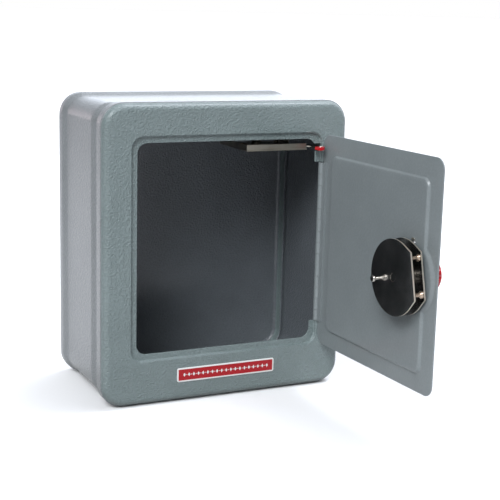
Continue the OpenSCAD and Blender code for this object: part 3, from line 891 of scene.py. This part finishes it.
def make_floor():
    """Pale floor. It throws less light on the box than it shows the camera, except in the gloss of
    the sides, which mirrors the lit paper behind; that paper ends to the left of the box."""
    mat = Mat("floor_white")
    seen = mat.ramp(mat.noise(2.0, 2.0), (0.2, grey(0.9)), (0.8, grey(0.93)))
    ray = mat.add("ShaderNodeLightPath")
    where = mat.add("ShaderNodeNewGeometry")
    apart = mat.add("ShaderNodeSeparateXYZ")
    mat.link(where.outputs["Position"], apart.inputs[0])
    paper = mat.add("ShaderNodeMapRange")
    paper.inputs["From Min"].default_value = -0.5
    paper.inputs["From Max"].default_value = -0.32
    mat.link(apart.outputs["X"], paper.inputs["Value"])
    mirrored = mat.math("MULTIPLY", ray.outputs["Is Glossy Ray"], paper.outputs["Result"])
    pick = mat.add("ShaderNodeMix", data_type="RGBA")
    mat.link(ray.outputs["Is Camera Ray"], pick.inputs[MIX_FACTOR])
    mat.link(mat.ramp(mirrored, (0.0, grey(0.34)), (1.0, grey(0.74))), pick.inputs[MIX_A])
    mat.link(seen, pick.inputs[MIX_B])
    mat.link(pick.outputs[MIX_RESULT], mat.b.inputs["Base Color"])
    mat.set(Roughness=0.9, Specular_IOR_Level=0.0)
    half, z = 30, -0.0003
    corners = [(-half, -half, z), (half, -half, z), (half, half, z), (-half, half, z)]
    return obj_from("floor", corners, [(0, 1, 2, 3)], mat.m, smooth=False)


make_floor()

# Soft studio light: each lobe of the sky is (towards, sharpness, strength, colour)
LOBES = [
    ((-0.8, -0.9, 1.0), 40, 19.0, (0.96, 1.0, 1.035)),  # key, from the front left and above
    ((-1.0, -0.35, 0.8), 40, 4.0, (1.04, 1.0, 1.04)),  # its edge, further round
    ((0.42, 0.05, 0.9), 30, 11.5, (0.97, 1.0, 1.1)),  # softbox overhead, seen in the front bend
    ((0.42, -0.6, 0.7), 40, 1.2, (0.95, 1.0, 1.06)),  # its front edge
    ((-0.29, 0.956, 0.0), 60, 2.3, (1.14, 1.0, 1.07)),  # white sweep behind, seen in the left side
    ((0.3, 0.95, 0.12), 20, 1.5, (0.93, 1.0, 1.14)),  # the same sweep further right
    ((1.0, 1.0, 0.3), 4, 1.28, (0.95, 1.0, 1.06)),  # the sweep behind the right side
    ((1.0, 0.0, 0.2), 3, 0.56, (1.0, 1.0, 1.03)),  # fill from the right
    ((0.0, 0.0, 1.0), 3, 0.4, (1.0, 1.0, 1.08)),  # top light
]


def make_world():
    """Sky that sums the lobes. The camera itself sees plain white behind the box."""
    world = bpy.data.worlds.new("studio")
    scene.world = world
    world.use_nodes = True
    tree = world.node_tree
    coord = tree.nodes.new("ShaderNodeTexCoord")

    def node(kind, op, *values):
        n = tree.nodes.new(kind)
        n.operation = op
        for i, v in enumerate(values):
            if isinstance(v, bpy.types.NodeSocket):
                tree.links.new(v, n.inputs[i])
            else:
                n.inputs[i].default_value = v
        return n

    total = None
    for towards, sharpness, power, colour in LOBES:
        axis = Vector(towards).normalized()
        dot = node("ShaderNodeVectorMath", "DOT_PRODUCT", coord.outputs["Generated"], axis)
        lit = node("ShaderNodeMath", "MAXIMUM", dot.outputs["Value"], 0.0)
        lit = node("ShaderNodeMath", "POWER", lit.outputs["Value"], sharpness)
        lobe = node("ShaderNodeVectorMath", "SCALE", [c * power for c in colour])
        tree.links.new(lit.outputs["Value"], lobe.inputs["Scale"])
        out = lobe.outputs["Vector"]
        if total is not None:
            out = node("ShaderNodeVectorMath", "ADD", total, out).outputs["Vector"]
        total = out
    ray = tree.nodes.new("ShaderNodeLightPath")
    pick = tree.nodes.new("ShaderNodeMix")
    pick.data_type = "RGBA"
    tree.links.new(ray.outputs["Is Camera Ray"], pick.inputs[MIX_FACTOR])
    tree.links.new(total, pick.inputs[MIX_A])
    pick.inputs[MIX_B].default_value = (1, 1, 1, 1)
    tree.links.new(pick.outputs[MIX_RESULT], tree.nodes["Background"].inputs["Color"])


make_world()

# Camera at the viewing angle of the reference picture: place, heading, tilt, roll and lens
CAMERA_AT = (-0.3058, -0.6716, 0.2493)
HEADING, TILT, ROLL = math.radians(25.78), math.radians(-11.74), math.radians(1.50)
LENS_MM, SENSOR_MM = 84.672, 36.0


def make_camera():
    forward = Vector(
        (
            math.cos(TILT) * math.sin(HEADING),
            math.cos(TILT) * math.cos(HEADING),
            math.sin(TILT),
        )
    )
    level = Vector((math.cos(HEADING), -math.sin(HEADING), 0))
    right = level * math.cos(ROLL) + level.cross(forward) * math.sin(ROLL)
    cam = bpy.data.cameras.new("camera")
    cam.sensor_width = SENSOR_MM
    cam.lens = LENS_MM
    cam.clip_start, cam.clip_end = 0.01, 100
    ob = new_object("camera", cam)
    pose = Matrix((right, right.cross(forward), -forward)).transposed().to_4x4()
    pose.translation = Vector(CAMERA_AT)
    ob.matrix_world = pose
    scene.camera = ob


make_camera()
